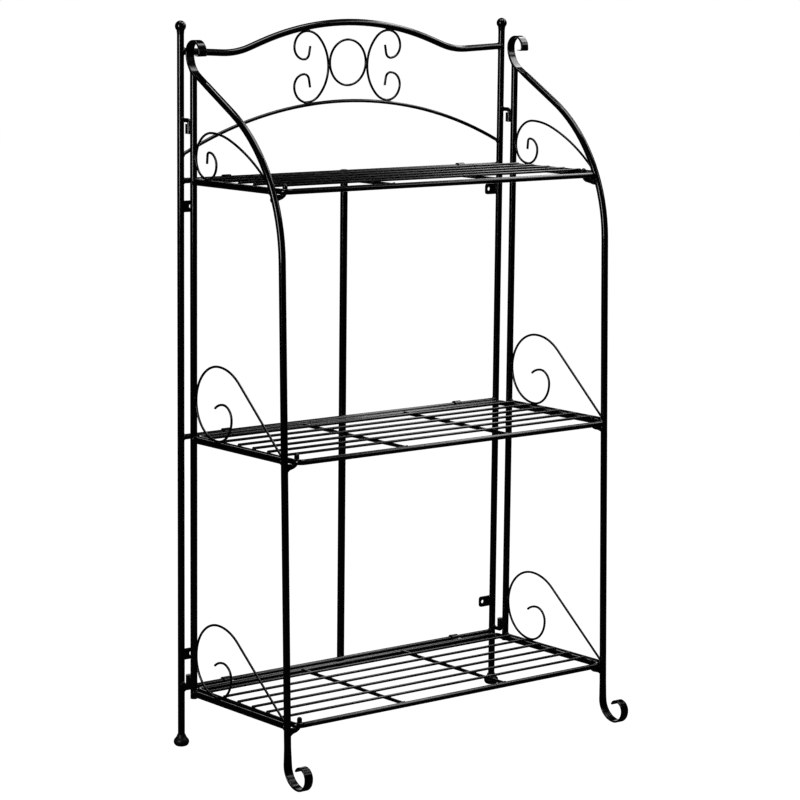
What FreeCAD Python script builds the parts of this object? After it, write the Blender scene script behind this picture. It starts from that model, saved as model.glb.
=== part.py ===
import FreeCAD, Part
import os
from math import sin, cos, tan, asin, atan2, radians, degrees, pi, sqrt

os.makedirs("parts", exist_ok=True)
V = FreeCAD.Vector

# Bars: diameters in millimetres
tube_d = 10.0
tube_wall = 1.0
crown_d = 9.8
centre_upright_d = 11.0
rail_d = 8.0
side_rail_d = 9.0
arch_rod_d = 5.0
scroll_wire_d = 3.3
slat_d = 3.8
cross_wire_d = 5.0
hook_rod_d = 6.0
catch_rod_d = 7.0
strip_thickness = 3.0
vent_hole_d = 2.5

# Overall: width between the posts, depth of the side frames, heights of the shelves and posts
post_spacing = 600.0
front_leg_reach = 260.3
bottom_shelf_height = 85.5
lower_bay = 372.5
upper_bay = 369.5
post_above_shelf = 206.5

# Back panel
crown_drop = 23.5
crown_end_slope = 2.6
crown_side_slope = 19.3
crown_valley_radius = 126.0
crown_ramp_length = 23.4
crown_top_radius = 480.0
arch_above_shelf = 35.5
arch_rise = 70.5
ring_radius = 33.5
c_width = 39.5
c_shoulder_radius = 23.0
c_curl_radius = 18.0
c_end_radius = 9.0
c_end_turn = 80.0
c_end_length = 12.0
centre_upright_setback = 7.0
ball_radius = 7.9
ball_seat = 0.7
finial_neck_length = 6.0
finial_neck_flare = 0.6
finial_stem_length = 12.0
foot_radius = 11.3
foot_base_radius = 7.5
foot_bulge_height = 6.0
foot_shoulder_slope = 45.0
foot_height = 17.0
foot_collar_wall = 1.0
foot_floor = 3.0
tab_hole_inset = 18.7
tab_hole_d = 6.0
tab_end_margin = 6.6
tab_height = 16.5
tab_corner_radius = 4.0
tab_thickness = 2.0
tab_setback = 2.0
upper_tab_drop = 37.0
lower_tab_rise = 50.0

# Side frames
rear_upright_reach = 32.0
rear_upright_drop = 8.0
leg_lean = 1.455
bow_drop = 95.0
bow_radius = 235.0
diagonal_slope = 30.0
neck_radius = 37.0
neck_reach = 22.5
curl_radius = 15.75
curl_end_length = 2.5
flattening_length = 26.0
heel_radius = 30.0
toe_radius = 18.5
toe_curl_radius = 14.0
toe_end_radius = 9.0
toe_end_turn = 57.0
toe_end_length = 2.0
vent_above_flattening = 8.0
bottom_rail_lift = -1.0
middle_rail_lift = 0.5
top_rail_lift = 0.5
tall_rear_radius = 52.0
tall_top_radius = 55.0
tall_tail_radius = 74.0
tall_front_radius = 34.0
tall_crest_radius = 20.0
tall_end_radius = 31.0
tall_end_turn = 39.5
low_rear_radius = 28.0
low_top_radius = 37.5
low_tail_radius = 125.0
low_tail_turn = 20.0
low_front_radius = 21.0
low_crest_radius = 17.0
low_end_radius = 4.5
low_end_turn = 85.0
low_end_length = 12.0

# Hinges between the back panel and the side frames
socket_d = 11.5
socket_length = 14.0
pin_clearance = 0.06
upper_hook_rise = 86.5
lower_hook_rise = 7.0
hook_bend_radius = 4.0
hook_shoulder_gap = 0.5

# Shelves, with the clips that hang them and the catches that hold their sides
slat_count = 6
top_slat_count = 5
hinge_reach = 22.0
front_rail_lead = 7.3
frame_corner_radius = 10.0
slat_overhang = 1.5
clip_inset = 80.0
clip_width = 12.0
clip_wall = 2.0
clip_clearance = 0.05
clip_arm_thickness = 3.0
catch_play = 3.2
catch_tip_play = 3.0
catch_rest_gap = 1.2
catch_arm_slope = 15.0
catch_tip_rise = 6.0
catch_setback = 2.0
weld_sink = 0.3

# Sizes that follow from the ones above
half_post = post_spacing / 2
tube_r = tube_d / 2
rail_r = rail_d / 2
side_rail_r = side_rail_d / 2
wire_r = scroll_wire_d / 2
slat_r = slat_d / 2
cross_r = cross_wire_d / 2
hook_r = hook_rod_d / 2
catch_r = catch_rod_d / 2
crown_r = crown_d / 2
arch_r = arch_rod_d / 2
pin_reach = rear_upright_reach - tube_r - socket_d / 2 + weld_sink
shelf_half = half_post - tube_r - catch_play - rail_r
back_extent = max(foot_radius, centre_upright_setback + centre_upright_d / 2)
middle_shelf_height = bottom_shelf_height + lower_bay
top_shelf_height = middle_shelf_height + upper_bay
shelf_heights = {"bottom": bottom_shelf_height, "middle": middle_shelf_height, "top": top_shelf_height}
side_rail_heights = {
    "bottom": bottom_shelf_height + bottom_rail_lift,
    "middle": middle_shelf_height + middle_rail_lift,
    "top": top_shelf_height + top_rail_lift}
slat_counts = {"bottom": slat_count, "middle": slat_count, "top": top_slat_count}
post_top = top_shelf_height + post_above_shelf
bow_start_height = top_shelf_height - bow_drop


def turn_to(point, heading, radius, new_heading):
    """Middle and end of an arc that turns from one heading to another."""
    side = 1 if new_heading > heading else -1
    cu = point[0] - side * radius * sin(radians(heading))
    cw = point[1] + side * radius * cos(radians(heading))

    def at(h):
        return (cu + side * radius * sin(radians(h)), cw - side * radius * cos(radians(h)))
    return at((heading + new_heading) / 2), at(new_heading)


def trace(start, heading, moves):
    """Centre line of a bent bar: a move is a length, or a (radius, new heading)."""
    pieces = []
    point = start
    for move in moves:
        if isinstance(move, tuple):
            middle, end = turn_to(point, heading, move[0], move[1])
            pieces.append((point, middle, end))
            heading = move[1]
        else:
            end = (point[0] + move * cos(radians(heading)), point[1] + move * sin(radians(heading)))
            pieces.append((point, None, end))
        point = end
    return pieces


def arc_to(point, heading, target):
    """The move along an arc that leaves a point on a heading and ends at the target."""
    run = target[0] - point[0]
    rise = target[1] - point[1]
    half_turn = degrees(atan2(rise, run)) % 360 - heading
    radius = abs(sqrt(run ** 2 + rise ** 2) / (2 * sin(radians(half_turn))))
    return (radius, heading + 2 * half_turn)


def backwards(pieces):
    return [(end, middle, start) for start, middle, end in reversed(pieces)]


def edges_of(pieces, place):
    edges = []
    for start, middle, end in pieces:
        if middle is None:
            edges.append(Part.LineSegment(place(*start), place(*end)).toShape())
        else:
            edges.append(Part.Arc(place(*start), place(*middle), place(*end)).toShape())
    return edges


def direction_at_start(edges):
    return edges[0].tangentAt(edges[0].FirstParameter)


def sweep(edges, profile):
    return Part.Wire(edges).makePipeShell([profile], True, False)


def bent_bar(edges, radius):
    start = edges[0].firstVertex(True).Point
    return sweep(edges, Part.Wire(Part.Circle(start, direction_at_start(edges), radius).toShape()))


def bar(start, end, radius):
    return Part.makeCylinder(radius, (end - start).Length, start, end - start)


def largest(shape):
    return max(shape.Solids, key=lambda solid: solid.Volume)


def mirrored(shape):
    return shape.mirror(V(0, 0, 0), V(1, 0, 0))


# Front upright of the left side frame, traced in its own plane:
# u runs to the back of the rack from the back panel's plane, w runs up.
# The foot curls forward and the top rolls forward over the rear upright.
strip_half = strip_thickness / 2
strip_flat_half = pi * (tube_d - strip_thickness) / 4
leg_heading = 90.0 - leg_lean
leg_per_height = tan(radians(leg_lean))
heel_end = turn_to((0, 0), leg_heading + 180, heel_radius, 180)[1]
heel_height = strip_half - heel_end[1]


def leg_u(height):
    return -front_leg_reach + leg_per_height * height


heel_start = (leg_u(heel_height), heel_height)
foot_pieces = trace(heel_start, leg_heading + 180, [
    (heel_radius, 180), (toe_radius, 90), (toe_curl_radius, 0), (toe_end_radius, -toe_end_turn), toe_end_length])
foot_front = -foot_pieces[1][2][0] + strip_half

# The rack stands centred over the origin, so this is where the back panel's plane lies
panel_y = (foot_front - back_extent) / 2

leg_length = (bow_start_height - heel_height) / cos(radians(leg_lean))
bow_start = (leg_u(bow_start_height), bow_start_height)
bow_end = turn_to(bow_start, leg_heading, bow_radius, diagonal_slope)[1]
neck_run = neck_radius * (1 - sin(radians(diagonal_slope)))
diagonal_length = (-neck_reach - neck_run - bow_end[0]) / cos(radians(diagonal_slope))
upright_pieces = trace(heel_start, leg_heading, [
    flattening_length, leg_length - flattening_length, (bow_radius, diagonal_slope),
    diagonal_length - flattening_length, flattening_length,
    (neck_radius, 90), (curl_radius, 270), curl_end_length])
neck_top = upright_pieces[5][2][1]


def on_left(u, w):
    return V(-half_post, panel_y + u, w)


def outline(centre, along, corner_wide, corner_thick, edge_wide, broad_thick):
    """Outline across the bar: four corners, two broad sides and two rounded edges."""
    wide = V(1, 0, 0)
    thick = along.cross(wide)

    def at(w, t):
        return centre + wide * w + thick * t
    corners = [
        at(-corner_wide, -corner_thick), at(corner_wide, -corner_thick),
        at(corner_wide, corner_thick), at(-corner_wide, corner_thick)]
    middles = [at(0, -broad_thick), at(edge_wide, 0), at(0, broad_thick), at(-edge_wide, 0)]
    sides = []
    for number in range(4):
        start = corners[number]
        end = corners[(number + 1) % 4]
        if number % 2 == 0 and broad_thick == corner_thick:
            sides.append(Part.LineSegment(start, end).toShape())
        else:
            sides.append(Part.Arc(start, middles[number], end).toShape())
    return Part.Wire(sides)


def tube_outline(centre, along):
    corner = tube_r * cos(radians(45))
    return outline(centre, along, corner, corner, tube_r, tube_r)


def strip_outline(centre, along):
    return outline(centre, along, strip_flat_half, strip_half, strip_flat_half + strip_half, strip_half)


def flattening(piece, tube_first):
    """Tube pressed flat into the strip over the length of a straight piece."""
    start = on_left(*piece[0])
    end = on_left(*piece[2])
    along = (end - start).normalize()
    if tube_first:
        return Part.makeLoft([tube_outline(start, along), strip_outline(end, along)], True, True)
    return Part.makeLoft([strip_outline(start, along), tube_outline(end, along)], True, True)


def strip(pieces):
    edges = edges_of(pieces, on_left)
    return sweep(edges, strip_outline(on_left(*pieces[0][0]), direction_at_start(edges)))


tube_edges = edges_of(upright_pieces[1:4], on_left)
upright_outer = bent_bar(tube_edges, tube_r).multiFuse([
    flattening(upright_pieces[0], False), flattening(upright_pieces[4], True),
    strip(foot_pieces), strip(upright_pieces[5:])])
vent_low = upright_pieces[1][0]
vent = Part.makeCylinder(
    vent_hole_d / 2, tube_d, on_left(vent_low[0], vent_low[1] + vent_above_flattening), V(0, 1, 0))
front_upright = upright_outer.cut(bent_bar(tube_edges, tube_r - tube_wall)).cut(vent)


def upright_u(height):
    """Distance of the front upright from the panel's plane at a height on its leg or bow."""
    if height <= bow_start_height:
        return leg_u(height)
    centre_w = bow_start[1] - bow_radius * cos(radians(leg_heading))
    centre_u = bow_start[0] + bow_radius * sin(radians(leg_heading))
    return centre_u - sqrt(bow_radius ** 2 - (height - centre_w) ** 2)


# Rear upright with its hinge sockets
rear_low = on_left(-rear_upright_reach, bottom_shelf_height - rear_upright_drop)
rear_high = on_left(-rear_upright_reach, neck_top - neck_radius / 4)
rear_solid = largest(bar(rear_low, rear_high, tube_r).cut(upright_outer))
rear_upright = largest(rear_solid.cut(bar(rear_low, rear_high, tube_r - tube_wall)))

upper_hook_height = top_shelf_height + upper_hook_rise
lower_hook_height = bottom_shelf_height + lower_hook_rise


def socket_at(low):
    centre = on_left(-pin_reach, low)
    body = Part.makeCylinder(socket_d / 2, socket_length, centre)
    bore = Part.makeCylinder(hook_r + pin_clearance, socket_length, centre)
    return body.cut(bore).cut(rear_solid)


upper_socket_low = upper_hook_height - hook_bend_radius - hook_shoulder_gap - socket_length
lower_socket_low = lower_hook_height + hook_bend_radius + hook_shoulder_gap
hinge_sockets = Part.makeCompound([socket_at(upper_socket_low), socket_at(lower_socket_low)])

# Rear posts and the hooks that hold the side frames
post_low = V(-half_post, panel_y, foot_floor)
post_high = V(-half_post, panel_y, post_top)
post_solid = bar(post_low, post_high, tube_r)
rear_post = post_solid.cut(bar(post_low, post_high, tube_r - tube_wall))
both_posts = Part.makeCompound([post_solid, mirrored(post_solid)])


def hinge_hook(height, turn):
    pieces = trace((0, height), 180, [
        pin_reach - hook_bend_radius, (hook_bend_radius, turn),
        hook_shoulder_gap + socket_length + hook_shoulder_gap])
    return largest(bent_bar(edges_of(pieces, on_left), hook_r).cut(post_solid))


hinge_hooks = Part.makeCompound([hinge_hook(upper_hook_height, 270), hinge_hook(lower_hook_height, 90)])

# Side rails, scrolls and shelf catches of the left side frame
side_rails = {}
side_rail_solids = {}
for level, height in side_rail_heights.items():
    rail_back = on_left(-rear_upright_reach, height)
    rail_front = on_left(upright_u(height), height)
    solid = largest(bar(rail_back, rail_front, side_rail_r).cut(rear_solid).cut(upright_outer))
    side_rail_solids[level] = solid
    side_rails[level] = largest(solid.cut(bar(rail_back, rail_front, side_rail_r - tube_wall)))

scroll_back = -rear_upright_reach - tube_r - wire_r + weld_sink


def scroll_on_rail(level, rear_radius, top_radius, inner_moves, tail_from):
    """Wire scroll from its inner end round to the rear upright, over its top and down to the front upright."""
    base = side_rail_heights[level] + side_rail_r + wire_r - weld_sink
    touch = (scroll_back - rear_radius, base)
    inner = trace(touch, 180, inner_moves)
    outer = trace(touch, 0, [(rear_radius, 90), (top_radius, 180)])
    top = outer[-1][2]
    corner = (upright_u(side_rail_heights[level]), side_rail_heights[level])
    tail = trace(top, 180, tail_from(top, corner))
    wire = bent_bar(edges_of(backwards(inner) + outer + tail, on_left), wire_r)
    return largest(wire.cut(side_rail_solids[level]).cut(rear_solid).cut(upright_outer))


def tall_tail(top, corner):
    """An arc and a straight run down to the corner of the side rail and the front upright."""
    run = corner[0] - top[0]
    rise = corner[1] - (top[1] - tall_tail_radius)
    distance = sqrt(run ** 2 + rise ** 2)
    heading = degrees(atan2(rise, run)) % 360 + degrees(asin(tall_tail_radius / distance))
    return [(tall_tail_radius, heading), sqrt(distance ** 2 - tall_tail_radius ** 2)]


def low_tail(top, corner):
    """Two arcs down to the corner of the side rail and the front upright, the second one flatter."""
    bend = (low_tail_radius, 180 + low_tail_turn)
    bend_end = trace(top, 180, [bend])[0][2]
    return [bend, arc_to(bend_end, bend[1], corner)]


tall_inner = [(tall_front_radius, 90), (tall_crest_radius, 0), (tall_end_radius, -tall_end_turn)]
low_inner = [(low_front_radius, 90), (low_crest_radius, 0), (low_end_radius, -low_end_turn), low_end_length]
side_scrolls = {
    "bottom": scroll_on_rail("bottom", tall_rear_radius, tall_top_radius, tall_inner, tall_tail),
    "middle": scroll_on_rail("middle", tall_rear_radius, tall_top_radius, tall_inner, tall_tail),
    "top": scroll_on_rail("top", low_rear_radius, low_top_radius, low_inner, low_tail)}


def shelf_catch(height):
    """Hook on the inner face of the front upright, open at the top, round the shelf's side rod."""
    drop = rail_r + catch_rest_gap + catch_r
    bend = rail_r + catch_tip_play + catch_r
    slope = radians(catch_arm_slope)
    bend_x = -shelf_half + bend * sin(slope)
    bend_z = height - drop + bend * (1 - cos(slope))
    arm = (bend_x + half_post) / cos(slope)
    start = (-half_post, bend_z - arm * sin(slope))
    rise = drop - bend + catch_tip_rise
    half_bend = (catch_arm_slope + 90) / 2
    pieces = trace(start, catch_arm_slope, [arm, (bend, half_bend), (bend, 90), rise])
    at_y = panel_y + upright_u(height) + catch_setback

    def place(u, w):
        return V(u, at_y, w)
    runs = [bent_bar([edge], catch_r) for edge in edges_of(pieces, place)]
    round_end = Part.makeSphere(catch_r, place(*pieces[-1][2]), V(0, 0, 1), 0, 90, 360)
    arm_run = runs[0].cut(upright_outer)
    for solid in side_rail_solids.values():
        arm_run = arm_run.cut(solid)
    return Part.makeCompound([largest(arm_run), runs[1], runs[2], runs[3].fuse(round_end)])


# Crown of the back panel
side_slope = radians(crown_side_slope)
end_slope = radians(crown_end_slope)
valley_run = crown_valley_radius * (sin(side_slope) + sin(end_slope))
top_run = crown_top_radius * sin(side_slope)
crown_end_run = half_post - valley_run - crown_ramp_length * cos(side_slope) - top_run
crown_end_length = crown_end_run / cos(end_slope)


def on_panel(u, w):
    return V(u, panel_y, w)


crown_pieces = trace((-half_post, post_top - crown_drop), -crown_end_slope, [
    crown_end_length, (crown_valley_radius, crown_side_slope), crown_ramp_length,
    (crown_top_radius, -crown_side_slope), crown_ramp_length, (crown_valley_radius, crown_end_slope),
    crown_end_length])
crown_edges = edges_of(crown_pieces, on_panel)
crown_solid = largest(bent_bar(crown_edges, crown_r).cut(both_posts))
crown_rail = largest(crown_solid.cut(bent_bar(crown_edges, crown_r - tube_wall)))
crown_apex = crown_pieces[3][1][1]

arch_end = top_shelf_height + arch_above_shelf
arch_apex = arch_end + arch_rise
arch_radius = (half_post ** 2 + arch_rise ** 2) / (2 * arch_rise)
arch_edge = Part.Arc(
    on_panel(-half_post, arch_end), on_panel(0, arch_apex), on_panel(half_post, arch_end)).toShape()
crown_arch_rod = largest(bent_bar([arch_edge], arch_r).cut(both_posts))

# The ring stands midway between the crown and the arch, with a C-scroll on either side of it
ring_height = (crown_apex - crown_r + arch_apex + arch_r) / 2
crown_ring = Part.makeTorus(ring_radius, wire_r, on_panel(0, ring_height), V(0, 1, 0))

c_back = ring_radius + scroll_wire_d - weld_sink
c_weld = c_back + c_width
crown_at_weld = crown_apex - crown_top_radius + sqrt(crown_top_radius ** 2 - c_weld ** 2)
arch_at_weld = arch_apex - arch_radius + sqrt(arch_radius ** 2 - c_weld ** 2)
c_top = crown_at_weld - crown_r - wire_r + weld_sink
c_low = arch_at_weld + arch_r + wire_r - weld_sink
c_middle = (c_top + c_low) / 2
c_half = (c_top - c_low) / 2
# A quarter of the C is two arcs of an eighth turn, sized to fit between ring, crown and arch
eighth = tan(radians(22.5))
c_flat_radius = (c_half + c_width + (c_half - c_width) / eighth) / 2
c_crest_radius = c_half + c_width - c_flat_radius
upper_c = trace((c_back, 0), 90, [
    (c_flat_radius, 45), (c_crest_radius, 0), (c_shoulder_radius, -90), (c_curl_radius, -180),
    (c_end_radius, -180 - c_end_turn), c_end_length])
lower_c = [tuple(point and (point[0], -point[1]) for point in piece) for piece in upper_c]


def on_crown_left(u, w):
    return on_panel(-u, c_middle + w)


c_edges = edges_of(backwards(upper_c) + lower_c, on_crown_left)
crown_scroll = largest(bent_bar(c_edges, wire_r).cut(crown_solid).cut(crown_arch_rod).cut(crown_ring))

# Back rails, centre upright and wall fixing tabs
back_rail_solids = {}
back_rails = {}
for level, height in shelf_heights.items():
    rail_left = on_panel(-half_post, height)
    rail_right = on_panel(half_post, height)
    back_rail_solids[level] = largest(bar(rail_left, rail_right, rail_r).cut(both_posts))
    back_rails[level] = largest(back_rail_solids[level].cut(bar(rail_left, rail_right, rail_r - tube_wall)))

centre_y = panel_y + centre_upright_setback
centre_low = V(0, centre_y, bottom_shelf_height - rail_r)
centre_high = V(0, centre_y, top_shelf_height + rail_r)
centre_upright = bar(centre_low, centre_high, centre_upright_d / 2)
centre_upright = centre_upright.cut(bar(centre_low, centre_high, centre_upright_d / 2 - tube_wall))
for solid in back_rail_solids.values():
    centre_upright = centre_upright.cut(solid)
centre_upright = largest(centre_upright)


def wall_tab(height):
    """Plate welded to the inner side of the post, with rounded corners and a screw hole."""
    front = panel_y + tab_setback
    length = tab_hole_inset + tab_end_margin
    plate = Part.makeBox(length, tab_thickness, tab_height, V(-half_post, front, height - tab_height / 2))
    corners = []
    for edge in plate.Edges:
        box = edge.BoundBox
        if box.XMin > -half_post + length / 2 and box.ZLength < tab_height / 2 and box.YLength > tab_thickness / 2:
            corners.append(edge)
    hole = Part.makeCylinder(
        tab_hole_d / 2, tab_thickness, V(-half_post + tab_hole_inset, front, height), V(0, 1, 0))
    return largest(plate.makeFillet(tab_corner_radius, corners).cut(hole).cut(post_solid))


left_tabs = [wall_tab(top_shelf_height - upper_tab_drop), wall_tab(bottom_shelf_height + lower_tab_rise)]
wall_fixing_tabs = Part.makeCompound(left_tabs + [mirrored(tab) for tab in left_tabs])

# Ball finial with its stem in the post's bore
ball_height = post_top + finial_neck_length + ball_seat * ball_radius
ball = Part.makeSphere(ball_radius, V(-half_post, panel_y, ball_height))
neck = Part.makeCone(tube_r, tube_r + finial_neck_flare, finial_neck_length, post_high)
stem = bar(post_high - V(0, 0, finial_stem_length), post_high, tube_r - tube_wall)
ball_finial = ball.fuse(neck).fuse(stem)

# Rear foot, a plastic cap turned round the post's axis
bulge_out = foot_radius - foot_base_radius
bulge_radius = (bulge_out ** 2 + foot_bulge_height ** 2) / (2 * bulge_out)
base_heading = degrees(asin((bulge_radius - bulge_out) / bulge_radius))
bulge = trace((foot_base_radius, 0), base_heading, [(bulge_radius, 90), (bulge_radius, 90 + foot_shoulder_slope)])
collar = (tube_r + foot_collar_wall, foot_height)
foot_neck = trace(
    bulge[-1][2], 90 + foot_shoulder_slope, [arc_to(bulge[-1][2], 90 + foot_shoulder_slope, collar)])
foot_sides = bulge + foot_neck + [
    (foot_neck[-1][2], None, (0, foot_height)), ((0, foot_height), None, (0, 0)),
    ((0, 0), None, (foot_base_radius, 0))]


def on_foot_profile(u, w):
    return V(u, 0, w)


foot_face = Part.Face(Part.Wire(edges_of(foot_sides, on_foot_profile)))
rear_foot = foot_face.revolve(V(0, 0, 0), V(0, 0, 1), 360)
rear_foot.translate(V(-half_post, panel_y, 0))
rear_foot = rear_foot.cut(post_solid)

# Shelves
front_rail_reach = -leg_u(bottom_shelf_height) + front_rail_lead
slat_pitch = (front_rail_reach - hinge_reach) / (slat_count + 1)
clip_x = half_post - clip_inset


def shelf(level):
    height = shelf_heights[level]
    count = slat_counts[level]
    back = panel_y - hinge_reach
    front = back - slat_pitch * (count + 1)
    radius = frame_corner_radius
    run_x = 2 * (shelf_half - radius)
    run_y = back - front - 2 * radius

    def flat(u, w):
        return V(u, w, height)
    pieces = trace((-shelf_half + radius, front), 0, [
        run_x, (radius, 45), (radius, 90), run_y, (radius, 135), (radius, 180),
        run_x, (radius, 225), (radius, 270), run_y, (radius, 315), (radius, 360)])
    edges = edges_of(pieces, flat)
    frame_solid = bent_bar(edges, rail_r)
    vent_hole = Part.makeCylinder(vent_hole_d / 2, rail_d, V(radius, back, height), V(0, 0, -1))
    frame_runs = []
    for edge in edges:
        bore = bent_bar([edge], rail_r - tube_wall)
        frame_runs.append(largest(bent_bar([edge], rail_r).cut(bore).cut(vent_hole)))
    slat_z = height + rail_r + slat_r - weld_sink
    cross_z = slat_z - slat_r - cross_r + weld_sink
    cross_wires = []
    for x in (-shelf_half / 3, shelf_half / 3):
        wire = bar(V(x, back, cross_z), V(x, front, cross_z), cross_r).cut(frame_solid)
        cross_wires.append(largest(wire))
    slats = []
    slat_end = shelf_half + slat_overhang
    for number in range(1, count + 1):
        y = back - number * slat_pitch
        wire = bar(V(-slat_end, y, slat_z), V(slat_end, y, slat_z), slat_r).cut(frame_solid)
        for cross_wire in cross_wires:
            wire = wire.cut(cross_wire)
        slats.append(largest(wire))
    clips = []
    for x in (-clip_x, clip_x):
        start = V(x - clip_width / 2, panel_y, height)
        loop = Part.makeCylinder(rail_r + clip_clearance + clip_wall, clip_width, start, V(1, 0, 0))
        arm = Part.makeBox(
            clip_width, hinge_reach, clip_arm_thickness,
            V(start.x, panel_y - hinge_reach, height - clip_arm_thickness / 2))
        bore = Part.makeCylinder(rail_r + clip_clearance, clip_width, start, V(1, 0, 0))
        clips.append(largest(loop.fuse(arm).cut(bore).cut(frame_solid)))
    return {
        "frame": Part.makeCompound(frame_runs), "slats": Part.makeCompound(slats),
        "cross_wires": Part.makeCompound(cross_wires), "hinge_clips": Part.makeCompound(clips)}


nodes = {
    "crown_rail": crown_rail,
    "crown_arch_rod": crown_arch_rod,
    "crown_ring": crown_ring,
    "centre_upright": centre_upright,
    "wall_fixing_tabs": wall_fixing_tabs}
for level in shelf_heights:
    nodes[level + "_back_rail"] = back_rails[level]
    for name, shape in shelf(level).items():
        nodes[level + "_shelf_" + name] = shape
left_pieces = {
    "rear_post": rear_post,
    "ball_finial": ball_finial,
    "rear_foot": rear_foot,
    "crown_scroll": crown_scroll,
    "hinge_hooks": hinge_hooks,
    "front_upright": front_upright,
    "rear_upright": rear_upright,
    "hinge_sockets": hinge_sockets}
for level, height in shelf_heights.items():
    left_pieces[level + "_shelf_catch"] = shelf_catch(height)
    left_pieces[level + "_side_rail"] = side_rails[level]
    left_pieces[level + "_side_scroll"] = side_scrolls[level]
for name, shape in left_pieces.items():
    nodes["left_" + name] = shape
    nodes["right_" + name] = mirrored(shape)

for name, shape in nodes.items():
    shape.exportStep("parts/" + name + ".step")
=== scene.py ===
from math import cos, pi, radians, sin
from random import Random

import bmesh
import bpy
from mathutils import Matrix, Vector
from mathutils.bvhtree import BVHTree


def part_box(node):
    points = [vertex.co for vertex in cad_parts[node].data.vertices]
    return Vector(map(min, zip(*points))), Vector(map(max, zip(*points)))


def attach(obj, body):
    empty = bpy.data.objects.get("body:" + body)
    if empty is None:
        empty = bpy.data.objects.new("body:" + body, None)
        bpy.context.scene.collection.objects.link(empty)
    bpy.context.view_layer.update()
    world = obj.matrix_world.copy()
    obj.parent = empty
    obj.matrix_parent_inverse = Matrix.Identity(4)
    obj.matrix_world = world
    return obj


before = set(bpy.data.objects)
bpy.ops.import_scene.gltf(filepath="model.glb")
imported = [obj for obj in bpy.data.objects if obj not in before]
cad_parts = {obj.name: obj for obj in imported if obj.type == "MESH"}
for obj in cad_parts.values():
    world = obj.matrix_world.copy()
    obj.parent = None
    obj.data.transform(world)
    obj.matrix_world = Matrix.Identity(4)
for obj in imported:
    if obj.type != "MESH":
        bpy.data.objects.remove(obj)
bpy.context.view_layer.update()
chance = Random(11)

# Sizes in metres, in the rack's own frame

X, Y, Z = Vector((1, 0, 0)), Vector((0, 1, 0)), Vector((0, 0, 1))
levels = ("bottom", "middle", "top")
sides = (("left", -1), ("right", 1))
slat_counts = {"bottom": 6, "middle": 6, "top": 5}

tube_r = 0.005
back_rail_r = 0.004
crown_r = 0.0049
arch_rod_r = 0.0025
hook_r = 0.003
catch_r = 0.0035
wire_r = 0.00165

crown_drop = 0.0235
crown_slope = radians(2.6)
arch_end_rise = 0.0028
arch_slope = radians(26.4)
hook_heights = (0.914, 0.0925)
tab_heights = (0.7905, 0.1355)
tab_half_height = 0.0084
tab_faces = (0.0018, 0.0042)
tab_edge_inset = 0.0041
crown_scroll_touch = (0.0715, 0.0805)
ring_touch_x = 0.03515
ring_touch_heights = (0.9825, 0.9925)

scroll_rear_radius = {"bottom": 0.052, "middle": 0.052, "top": 0.028}
scroll_touch_half = 0.006
scroll_front_half = 0.0028
scroll_front_inset = 0.0016
scroll_front_rise = 0.0012
socket_middles = (0.9025, 0.104)
socket_half_length = 0.006
socket_flank = 0.0032
catch_slope = radians(15.0)
catch_arm_x = 0.28508
catch_arm_drop = 0.008342

slat_flank = 0.0016
slat_rail_half = 0.0028
slat_cross_half = 0.0022
clip_half_width = 0.006
clip_half_thickness = 0.0019

# Where a bead's rays start, and how deep it sits beside a piece that only touches
ray_back = 0.02
arch_ray_back = 0.0085
arch_ray_inset = 0.0135
hook_ray_back = 0.012
upright_ray_back = 0.05
before_upright_y = -0.3
behind_upright_y = 0.05
ray_reach = 0.08
wire_seat = 0.0004
slat_seat = 0.0003
socket_seat = 0.0002
crown_wire_flank = 0.0013
side_wire_flank = 0.0014

# Radii of the weld beads
tube_bead = 0.0014
rail_bead = 0.0013
arch_bead = 0.0012
wire_bead = 0.0011
small_bead = 0.0010
fine_bead = 0.0009
scroll_end_bead = 0.0017
bead_sides = 8
bead_ripple = 0.13
bead_ripple_length = 0.0021
bead_unevenness = 0.07
bead_tip = 0.35
bead_swell = 3.2
seam_steps = 40
shortest_seam = 3

# Web of weld metal at a catch: its outline's steps, and its two faces with their rounding
web_inner_x = 0.2850
web_outer_inset = 0.0030
web_top_gap = 0.0006
web_arm_drop = 0.004342
web_corner = 0.002
web_toe = 0.003
web_toe_drop = 0.0032
web_tip_drop = 0.0045
web_lean_width = 0.004
web_faces = ((-0.0029, 0.0009), (-0.0018, 0), (0.0018, 0), (0.0029, 0.0009))

# Lip at the end of the curl
lip_overlap = 0.0010
lip_radius = 0.0022
lip_half_thick = 0.0015
lip_thinning = 0.00012
lip_reach = 0.0100
lip_end_drop = 0.0020
lip_end_half_thick = 0.0004
lip_bend_steps = 6
lip_section = ((-1, -0.6), (-0.93, -1), (0.93, -1), (1, -0.6), (1, 0.6), (0.93, 1), (-0.93, 1), (-1, 0.6))
curl_height = 0.045
curl_arm_depth = 0.006
curl_edge_height = 0.001

# Camera at the photograph's viewing angle
camera_place = Vector((-2.615953, -3.193530, 1.153454))
camera_yaw = radians(39.163)
camera_pitch = radians(-8.941)
camera_roll = radians(0.617)
camera_lens = 128.444
camera_sensor = 36.0
camera_far_clip = 50.0

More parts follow.
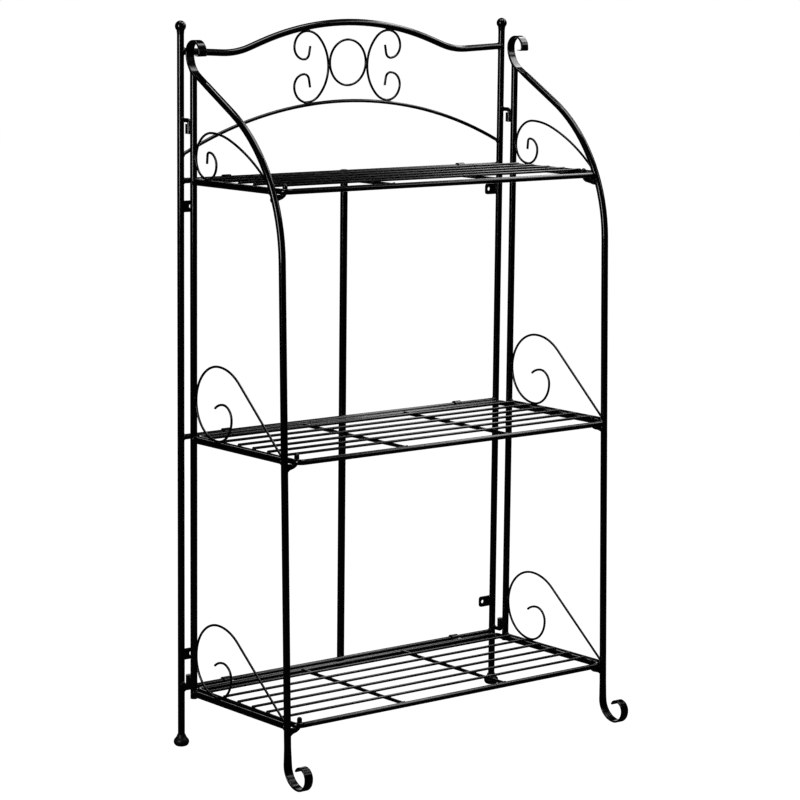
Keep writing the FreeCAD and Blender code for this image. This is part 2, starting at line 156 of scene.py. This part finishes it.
# Soft lights: name, place, point faced, direction of the width, width, height, watts
soft_boxes = (
    ("left_bank", (-2.35, -0.50, 1.285), (0, -0.1, 1.285), (0, 1, 0), 0.55, 1.33, 34),
    ("right_bank", (1.9, -0.05, 2.62), (0, -0.05, 2.62), (0, 1, 0), 2.4, 0.5, 30),
    ("right_low_bank", (1.9, -0.3, 2.1), (0, -0.3, 2.1), (0, 1, 0), 1.1, 0.26, 7.5),
    ("right_front_bank", (1.9, -1.82, 2.08), (0, -1.82, 2.08), (0, 1, 0.15), 0.9, 0.6, 11),
    ("overhead_bank", (0.4, -0.32, 2.6), (0.4, -0.32, 0), (1, 0, 0), 0.95, 0.85, 19),
    ("overhead_strip", (-0.2, 0.54, 2.6), (-0.2, 0.54, 0), (1, 0, 0), 0.45, 0.24, 4),
    ("overhead_spot", (-0.5, 0.33, 2.6), (-0.5, 0.33, 0), (1, 0, 0), 0.35, 0.18, 3),
    ("rear_bank", (1.26, 1.55, 0.70), (0, 0, 0.70), (1, -0.81, 0), 1.0, 1.36, 7),
)
room_glow = 0.008
floor_half_size = 12.0
picture_gamma = 0.8


def middle_of(name):
    low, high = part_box(name)
    return (low + high) / 2


half_post = middle_of("right_rear_post").x
panel_y = middle_of("right_rear_post").y


# Materials

# Places of the colour sockets on a mix node
mix_base, mix_over, mix_result = 6, 7, 2
paint_depth = 0.0002


def group_socket(group, name, way, kind, value=None):
    socket = group.interface.new_socket(name=name, in_out=way, socket_type=kind)
    if value is not None:
        socket.default_value = value


def paint_ripple_group():
    """Fine ripple that sprayed and baked paint dries to, as a height and a change of roughness."""
    group = bpy.data.node_groups.new("sprayed paint ripple", "ShaderNodeTree")
    group_socket(group, "Ripple Size", "INPUT", "NodeSocketFloat", 450.0)
    group_socket(group, "Base Roughness", "INPUT", "NodeSocketFloat", 0.25)
    group_socket(group, "Roughness Change", "INPUT", "NodeSocketFloat", 0.08)
    group_socket(group, "Height", "OUTPUT", "NodeSocketFloat")
    group_socket(group, "Roughness", "OUTPUT", "NodeSocketFloat")
    nodes, links = group.nodes, group.links
    inside = nodes.new("NodeGroupInput")
    outside = nodes.new("NodeGroupOutput")
    place = nodes.new("ShaderNodeTexCoord")
    ripple = nodes.new("ShaderNodeTexNoise")
    ripple.inputs["Detail"].default_value = 2.0
    ripple.inputs["Roughness"].default_value = 0.45
    patches = nodes.new("ShaderNodeTexNoise")
    patches.inputs["Scale"].default_value = 16.0
    patches.inputs["Detail"].default_value = 3.0
    change = nodes.new("ShaderNodeMath")
    change.operation = "MULTIPLY"
    total = nodes.new("ShaderNodeMath")
    total.operation = "ADD"
    links.new(place.outputs["Object"], ripple.inputs["Vector"])
    links.new(place.outputs["Object"], patches.inputs["Vector"])
    links.new(inside.outputs["Ripple Size"], ripple.inputs["Scale"])
    links.new(ripple.outputs["Fac"], outside.inputs["Height"])
    links.new(patches.outputs["Fac"], change.inputs[0])
    links.new(inside.outputs["Roughness Change"], change.inputs[1])
    links.new(inside.outputs["Base Roughness"], total.inputs[0])
    links.new(change.outputs[0], total.inputs[1])
    links.new(total.outputs[0], outside.inputs["Roughness"])
    return group


def settled_dust_group():
    """Pale dust on faces that look up, broken by a cloudy pattern, mixed over a base colour."""
    group = bpy.data.node_groups.new("settled dust", "ShaderNodeTree")
    group_socket(group, "Color", "INPUT", "NodeSocketColor", (0.01, 0.01, 0.011, 1.0))
    group_socket(group, "Dust Color", "INPUT", "NodeSocketColor", (0.25, 0.24, 0.23, 1.0))
    group_socket(group, "Amount", "INPUT", "NodeSocketFloat", 0.03)
    group_socket(group, "Color", "OUTPUT", "NodeSocketColor")
    nodes, links = group.nodes, group.links
    inside = nodes.new("NodeGroupInput")
    outside = nodes.new("NodeGroupOutput")
    facing = nodes.new("ShaderNodeNewGeometry")
    split = nodes.new("ShaderNodeSeparateXYZ")
    upward = nodes.new("ShaderNodeMapRange")
    upward.inputs["From Min"].default_value = 0.2
    upward.inputs["From Max"].default_value = 1.0
    place = nodes.new("ShaderNodeTexCoord")
    cloud = nodes.new("ShaderNodeTexNoise")
    cloud.inputs["Scale"].default_value = 60.0
    cloud.inputs["Detail"].default_value = 4.0
    patchy = nodes.new("ShaderNodeMath")
    patchy.operation = "MULTIPLY"
    strength = nodes.new("ShaderNodeMath")
    strength.operation = "MULTIPLY"
    over = nodes.new("ShaderNodeMix")
    over.data_type = "RGBA"
    links.new(facing.outputs["Normal"], split.inputs[0])
    links.new(split.outputs["Z"], upward.inputs["Value"])
    links.new(place.outputs["Object"], cloud.inputs["Vector"])
    links.new(upward.outputs["Result"], patchy.inputs[0])
    links.new(cloud.outputs["Fac"], patchy.inputs[1])
    links.new(patchy.outputs[0], strength.inputs[0])
    links.new(inside.outputs["Amount"], strength.inputs[1])
    links.new(strength.outputs[0], over.inputs["Factor"])
    links.new(inside.outputs["Color"], over.inputs[mix_base])
    links.new(inside.outputs["Dust Color"], over.inputs[mix_over])
    links.new(over.outputs[mix_result], outside.inputs["Color"])
    return group


paint_ripple = paint_ripple_group()
settled_dust = settled_dust_group()


def black_finish(name, colour, ripple_size, roughness, roughness_change, bump, dust, specular):
    material = bpy.data.materials.new(name)
    material.use_nodes = True
    nodes, links = material.node_tree.nodes, material.node_tree.links
    shader = nodes["Principled BSDF"]
    ripple = nodes.new("ShaderNodeGroup")
    ripple.node_tree = paint_ripple
    ripple.inputs["Ripple Size"].default_value = ripple_size
    ripple.inputs["Base Roughness"].default_value = roughness
    ripple.inputs["Roughness Change"].default_value = roughness_change
    dusty = nodes.new("ShaderNodeGroup")
    dusty.node_tree = settled_dust
    dusty.inputs["Color"].default_value = colour
    dusty.inputs["Amount"].default_value = dust
    relief = nodes.new("ShaderNodeBump")
    relief.inputs["Strength"].default_value = bump
    relief.inputs["Distance"].default_value = paint_depth
    links.new(ripple.outputs["Height"], relief.inputs["Height"])
    links.new(relief.outputs["Normal"], shader.inputs["Normal"])
    links.new(ripple.outputs["Roughness"], shader.inputs["Roughness"])
    links.new(dusty.outputs["Color"], shader.inputs["Base Color"])
    shader.inputs["Specular IOR Level"].default_value = specular
    return material


gloss_black_paint = black_finish(
    "gloss_black_paint", colour=(0.0022, 0.0022, 0.0024, 1), ripple_size=160, roughness=0.12,
    roughness_change=0.05, bump=0.012, dust=0.003, specular=0.5)
foot_plastic = black_finish(
    "foot_plastic", colour=(0.006, 0.006, 0.006, 1), ripple_size=900, roughness=0.38,
    roughness_change=0.12, bump=0.25, dust=0.02, specular=0.4)

for name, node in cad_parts.items():
    finish = foot_plastic if name.endswith("rear_foot") else gloss_black_paint
    node.data.materials.clear()
    node.data.materials.append(finish)


# Weld metal: rippled beads where bars meet, webs at the catches and lips at the curls, under the paint

surfaces = {}
weld_builders = {}


def points_of(name):
    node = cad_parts[name]
    return [node.matrix_world @ vertex.co for vertex in node.data.vertices]


def surface_of(name):
    if name not in surfaces:
        polygons = [tuple(face.vertices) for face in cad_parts[name].data.polygons]
        surfaces[name] = BVHTree.FromPolygons(points_of(name), polygons)
    return surfaces[name]


def weld_builder(body):
    if body not in weld_builders:
        weld_builders[body] = bmesh.new()
    return weld_builders[body]


def skin(builder, rings, closed=False):
    """Faces from each ring of points to the next, with an end face on an open run."""
    count = len(rings[0])
    pairs = list(zip(rings, rings[1:]))
    if closed:
        pairs.append((rings[-1], rings[0]))
    for ring, following in pairs:
        for step in range(count):
            beyond = (step + 1) % count
            builder.faces.new((ring[step], ring[beyond], following[beyond], following[step]))
    if not closed:
        builder.faces.new(rings[0])
        builder.faces.new(rings[-1])


def bead(body, path, across, radius, closed=False):
    """A rippled bead along a path, drawn thin at both ends where the path is open."""
    builder = weld_builder(body)
    count = len(path)
    phase = chance.uniform(0, 2 * pi)
    reached = 0.0
    rings = []
    for number, point in enumerate(path):
        before = path[number - 1] if closed or number else point
        after = path[(number + 1) % count] if closed or number < count - 1 else point
        along = (after - before).normalized()
        first = (across - along * across.dot(along)).normalized()
        second = along.cross(first)
        ripple = bead_ripple * sin(phase + 2 * pi * reached / bead_ripple_length)
        thick = radius * (1 + ripple + chance.uniform(-bead_unevenness, bead_unevenness))
        if not closed:
            from_end = min(number, count - 1 - number) / max(1, count - 1)
            thick *= min(1.0, bead_tip + bead_swell * from_end)
        ring = []
        for step in range(bead_sides):
            turn = 2 * pi * step / bead_sides
            ring.append(builder.verts.new(point + (first * cos(turn) + second * sin(turn)) * thick))
        rings.append(ring)
        reached += (after - point).length
    skin(builder, rings, closed)


def line_bead(body, start, end, across, radius, steps=12):
    path = [Vector(start).lerp(Vector(end), step / steps) for step in range(steps + 1)]
    bead(body, path, across, radius)


def seam(body, centre, along, bar_radius, target, radius):
    """Bead round the end of a bar, where it runs into another piece."""
    first = along.orthogonal().normalized()
    second = along.cross(first)
    hits = []
    for step in range(seam_steps):
        turn = 2 * pi * step / seam_steps
        start = Vector(centre) + (first * cos(turn) + second * sin(turn)) * bar_radius
        hits.append(surface_of(target).ray_cast(start, along, ray_reach)[0])
    if all(hit is not None for hit in hits):
        bead(body, hits, along, radius, closed=True)
        return
    for begin in range(seam_steps):
        if hits[begin] is None or hits[begin - 1] is not None:
            continue
        path = []
        number = begin
        while hits[number % seam_steps] is not None:
            path.append(hits[number % seam_steps])
            number += 1
        if len(path) > shortest_seam:
            bead(body, path, along, radius)


def weld_back_panel(side, way):
    body = "back_panel"
    post = side + "_rear_post"
    x = way * half_post
    for level in levels:
        z = middle_of(level + "_back_rail").z
        seam(body, (x - way * ray_back, panel_y, z), X * way, back_rail_r, post, rail_bead)
        seam(body, (way * ray_back, panel_y, z), X * -way, back_rail_r, "centre_upright", small_bead)
    crown_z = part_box(post)[1].z - crown_drop - ray_back * sin(crown_slope)
    toward = Vector((way * cos(crown_slope), 0, sin(crown_slope)))
    seam(body, (x - way * ray_back, panel_y, crown_z), toward, crown_r, post, rail_bead)
    arch_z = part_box("crown_arch_rod")[0].z + arch_end_rise + arch_ray_back * sin(arch_slope)
    toward = Vector((way * cos(arch_slope), 0, -sin(arch_slope)))
    seam(body, (x - way * arch_ray_inset, panel_y, arch_z), toward, arch_rod_r, post, arch_bead)
    for z in hook_heights:
        seam(body, (x, panel_y - hook_ray_back, z), Y, hook_r, post, tube_bead)
    edge_x = x - way * tab_edge_inset
    for z in tab_heights:
        for face in tab_faces:
            y = panel_y + face
            line_bead(body, (edge_x, y, z - tab_half_height), (edge_x, y, z + tab_half_height), X, tube_bead)
    low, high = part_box(side + "_crown_scroll")
    touch_start, touch_end = crown_scroll_touch
    ring_low, ring_high = ring_touch_heights
    for y in (panel_y - crown_wire_flank, panel_y + crown_wire_flank):
        for z in (low.z + wire_seat, high.z - wire_seat):
            line_bead(body, (way * touch_start, y, z), (way * touch_end, y, z), Z, wire_bead)
        line_bead(body, (way * ring_touch_x, y, ring_low), (way * ring_touch_x, y, ring_high), X, wire_bead)


def weld_side_frame(side, way):
    body = side + "_side_frame"
    front = side + "_front_upright"
    rear = side + "_rear_upright"
    x = way * half_post
    rear_y = middle_of(rear).y
    for level in levels:
        low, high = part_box(side + "_" + level + "_side_rail")
        z = (low.z + high.z) / 2
        rail_r = (high.x - low.x) / 2
        seam(body, (x, low.y + ray_back, z), -Y, rail_r, front, tube_bead)
        seam(body, (x, high.y - ray_back, z), Y, rail_r, rear, tube_bead)
        catch_y = middle_of(side + "_" + level + "_shelf_catch").y
        arm_z = middle_of(level + "_shelf_frame").z - catch_arm_drop
        toward = Vector((way * cos(catch_slope), 0, -sin(catch_slope)))
        seam(body, (way * catch_arm_x, catch_y, arm_z), toward, catch_r, front, tube_bead)
        weld_side_scroll(body, x, low.y, rear_y, z + rail_r, scroll_rear_radius[level])
    seam(body, (x, rear_y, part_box(rear)[1].z - upright_ray_back), Z, tube_r, front, tube_bead)
    socket_y = rear_y + tube_r - socket_seat
    for z in socket_middles:
        for face_x in (x - socket_flank, x + socket_flank):
            start = (face_x, socket_y, z - socket_half_length)
            end = (face_x, socket_y, z + socket_half_length)
            line_bead(body, start, end, X, tube_bead)


def weld_side_scroll(body, x, front_y, rear_y, rest_z, rear_radius):
    """Beads where a scroll rests on its side rail, touches the rear upright and ends in front."""
    touch_y = rear_y - tube_r - wire_r - rear_radius
    touch_z = rest_z + wire_r + rear_radius
    stem_y = rear_y - tube_r - wire_seat
    seat_z = rest_z + wire_seat
    half = scroll_touch_half
    for face_x in (x - side_wire_flank, x + side_wire_flank):
        line_bead(body, (face_x, touch_y - half, seat_z), (face_x, touch_y + half, seat_z), X, wire_bead)
        line_bead(body, (face_x, stem_y, touch_z - half), (face_x, stem_y, touch_z + half), X, wire_bead)
    end_y = front_y + scroll_front_inset
    end_z = rest_z + scroll_front_rise
    half = scroll_front_half
    line_bead(body, (x - half, end_y, end_z), (x + half, end_y, end_z), Y, scroll_end_bead, steps=8)


def weld_shelf(level):
    body = level + "_shelf"
    frame_name = level + "_shelf_frame"
    frame_low, frame_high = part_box(frame_name)
    rail_r = (frame_high.z - frame_low.z) / 2
    shelf_z = (frame_low.z + frame_high.z) / 2
    side_x = frame_high.x - rail_r
    slat_low, slat_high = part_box(level + "_shelf_slats")
    slat_r = (slat_high.z - slat_low.z) / 2
    cross_low, cross_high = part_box(level + "_shelf_cross_wires")
    cross_r = (cross_high.z - cross_low.z) / 2
    cross_x = cross_high.x - cross_r
    cross_z = (cross_low.z + cross_high.z) / 2
    count = slat_counts[level]
    first_y = slat_low.y + slat_r
    step_y = (slat_high.y - slat_low.y - 2 * slat_r) / (count - 1)
    # Each slat is welded on both flanks, to the frame's sides and to the cross wires
    crossings = (
        (side_x, slat_rail_half, shelf_z + rail_r + slat_seat, small_bead),
        (cross_x, slat_cross_half, slat_low.z + slat_seat, fine_bead),
    )
    for number in range(count):
        y = first_y + number * step_y
        for way in (-1, 1):
            for flank in (-1, 1):
                edge_y = y + flank * slat_flank
                for x, half, z, radius in crossings:
                    line_bead(body, (way * x - half, edge_y, z), (way * x + half, edge_y, z), Y, radius, steps=6)
    for way in (-1, 1):
        for toward in (-1, 1):
            end_y = (cross_low.y if toward < 0 else cross_high.y) - toward * ray_back
            seam(body, (way * cross_x, end_y, cross_z), Y * toward, cross_r, frame_name, wire_bead)
    clip_low, clip_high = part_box(level + "_shelf_hinge_clips")
    half = clip_half_width
    for x in (clip_low.x + half, clip_high.x - half):
        for z in (shelf_z - clip_half_thickness, shelf_z + clip_half_thickness):
            line_bead(body, (x - half, frame_high.y, z), (x + half, frame_high.y, z), Z, small_bead)


def upright_middle_y(side, way, z):
    """Middle of the front upright at a height, between its front and its back."""
    upright = surface_of(side + "_front_upright")
    front = upright.ray_cast(Vector((way * half_post, before_upright_y, z)), Y)[0]
    back = upright.ray_cast(Vector((way * half_post, behind_upright_y, z)), -Y)[0]
    return (front.y + back.y) / 2


def catch_web(side, way, level):
    """Weld metal filled in between a catch's arm and the front upright, just below the shelf."""
    builder = weld_builder(side + "_side_frame")
    frame_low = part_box(level + "_shelf_frame")[0]
    catch_y = middle_of(side + "_" + level + "_shelf_catch").y
    top = frame_low.z - web_top_gap
    arm_z = frame_low.z - web_arm_drop
    outer_x = half_post - web_outer_inset
    fall = (outer_x - web_inner_x) * sin(catch_slope) / cos(catch_slope)
    outline = (
        (web_inner_x, arm_z),
        (web_inner_x, top - web_top_gap),
        (web_inner_x + web_corner, top),
        (outer_x - web_corner, top),
        (outer_x, top + web_corner),
        (outer_x, arm_z - fall - web_tip_drop),
        (outer_x - web_toe, arm_z - fall - web_toe_drop),
    )
    rings = []
    for face, shrink in web_faces:
        ring = []
        for x, z in outline:
            # At the upright the web follows its lean
            lean = 0.0
            if x > outer_x - web_lean_width:
                lean = upright_middle_y(side, way, z) - upright_middle_y(side, way, arm_z)
            ring.append(builder.verts.new((way * x, catch_y + lean + face, z - shrink if z > arm_z else z)))
        rings.append(ring)
    skin(builder, rings)


def curl_end(side):
    """Where the rolled top of the front upright ends: the lowest points in front of its neck."""
    points = points_of(side + "_front_upright")
    top = max(point.z for point in points)
    curl = [point for point in points if point.z > top - curl_height]
    front = min(point.y for point in curl)
    arm = [point for point in curl if point.y < front + curl_arm_depth]
    low = min(point.z for point in arm)
    edge = [point for point in arm if point.z < low + curl_edge_height]
    y = (min(point.y for point in edge) + max(point.y for point in edge)) / 2
    half_width = (max(point.x for point in edge) - min(point.x for point in edge)) / 2
    return y, low, half_width


def curl_lip(side, way):
    """Thin end of the strip, folded in under the curl at the top of the front upright."""
    builder = weld_builder(side + "_side_frame")
    x = way * half_post
    end_y, end_z, half_width = curl_end(side)
    path = [(end_y, end_z + lip_overlap, lip_half_thick)]
    for step in range(lip_bend_steps + 1):
        turn = radians(90 * step / lip_bend_steps)
        y = end_y + lip_radius * (1 - cos(turn))
        path.append((y, end_z - lip_radius * sin(turn), lip_half_thick - lip_thinning * step))
    path.append((end_y + lip_reach, end_z - lip_end_drop, lip_end_half_thick))
    rings = []
    for number, (y, z, half_thick) in enumerate(path):
        before = path[max(0, number - 1)]
        after = path[min(len(path) - 1, number + 1)]
        along = Vector((0, after[0] - before[0], after[1] - before[1])).normalized()
        over = Vector((0, -along.z, along.y))
        ring = []
        for across, up in lip_section:
            ring.append(builder.verts.new(Vector((x + across * half_width, y, z)) + over * up * half_thick))
        rings.append(ring)
    skin(builder, rings)


for side, way in sides:
    weld_back_panel(side, way)
    weld_side_frame(side, way)
    for level in levels:
        catch_web(side, way, level)
    curl_lip(side, way)
for level in levels:
    weld_shelf(level)

for body, builder in weld_builders.items():
    bmesh.ops.recalc_face_normals(builder, faces=builder.faces[:])
    for face in builder.faces:
        face.smooth = len(face.verts) == 4
    mesh = bpy.data.meshes.new(body + "_weld_beads")
    builder.to_mesh(mesh)
    builder.free()
    mesh.materials.append(gloss_black_paint)
    beads = bpy.data.objects.new(body + "_weld_beads", mesh)
    bpy.context.collection.objects.link(beads)
    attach(beads, body)


# Stage: pale floor, soft light and the camera

def pale_floor():
    """Floor that is white to the camera and dark to the paint's reflections."""
    mesh = bpy.data.meshes.new("pale_floor")
    builder = bmesh.new()
    bmesh.ops.create_grid(builder, x_segments=2, y_segments=2, size=floor_half_size)
    builder.to_mesh(mesh)
    builder.free()
    floor = bpy.data.objects.new("pale_floor", mesh)
    bpy.context.collection.objects.link(floor)
    material = bpy.data.materials.new("pale_floor")
    material.use_nodes = True
    nodes, links = material.node_tree.nodes, material.node_tree.links
    shader = nodes["Principled BSDF"]
    shader.inputs["Roughness"].default_value = 0.9
    shader.inputs["Specular IOR Level"].default_value = 0.0
    shader.inputs["Base Color"].default_value = (0.05, 0.05, 0.05, 1)
    shader.inputs["Emission Color"].default_value = (1, 1, 1, 1)
    path = nodes.new("ShaderNodeLightPath")
    links.new(path.outputs["Is Camera Ray"], shader.inputs["Emission Strength"])
    mesh.materials.append(material)


def soft_box(name, place, target, along, width, height, power):
    """Area light that faces a target, with its width laid along a direction."""
    light = bpy.data.lights.new(name, "AREA")
    light.shape = "RECTANGLE"
    light.size = width
    light.size_y = height
    light.energy = power
    lamp = bpy.data.objects.new(name, light)
    bpy.context.collection.objects.link(lamp)
    back = (Vector(place) - Vector(target)).normalized()
    level = Vector(along)
    level = (level - back * level.dot(back)).normalized()
    turned = Matrix((level, back.cross(level), back)).transposed().to_4x4()
    lamp.matrix_world = Matrix.Translation(place) @ turned


def white_sweep():
    """Background that is white to the camera and almost dark to everything else."""
    world = bpy.data.worlds.new("white_sweep")
    bpy.context.scene.world = world
    world.use_nodes = True
    nodes, links = world.node_tree.nodes, world.node_tree.links
    sky = nodes["Background"]
    sky.inputs["Color"].default_value = (1, 1, 1, 1)
    path = nodes.new("ShaderNodeLightPath")
    glow = nodes.new("ShaderNodeMapRange")
    glow.inputs["To Min"].default_value = room_glow
    glow.inputs["To Max"].default_value = 1.0
    links.new(path.outputs["Is Camera Ray"], glow.inputs["Value"])
    links.new(glow.outputs["Result"], sky.inputs["Strength"])


def photo_camera():
    data = bpy.data.cameras.new("photo_camera")
    data.sensor_width = camera_sensor
    data.lens = camera_lens
    data.clip_end = camera_far_clip
    camera = bpy.data.objects.new("photo_camera", data)
    bpy.context.collection.objects.link(camera)
    forward = Vector((
        sin(camera_yaw) * cos(camera_pitch),
        cos(camera_yaw) * cos(camera_pitch),
        sin(camera_pitch)))
    level = forward.cross(Z).normalized()
    upright = level.cross(forward)
    right = level * cos(camera_roll) + upright * sin(camera_roll)
    up = upright * cos(camera_roll) - level * sin(camera_roll)
    camera.matrix_world = Matrix((
        (right.x, up.x, -forward.x, camera_place.x),
        (right.y, up.y, -forward.y, camera_place.y),
        (right.z, up.z, -forward.z, camera_place.z),
        (0, 0, 0, 1)))
    bpy.context.scene.camera = camera


pale_floor()
for box in soft_boxes:
    soft_box(*box)
white_sweep()
photo_camera()
bpy.context.scene.view_settings.view_transform = "Standard"
bpy.context.scene.view_settings.gamma = picture_gamma
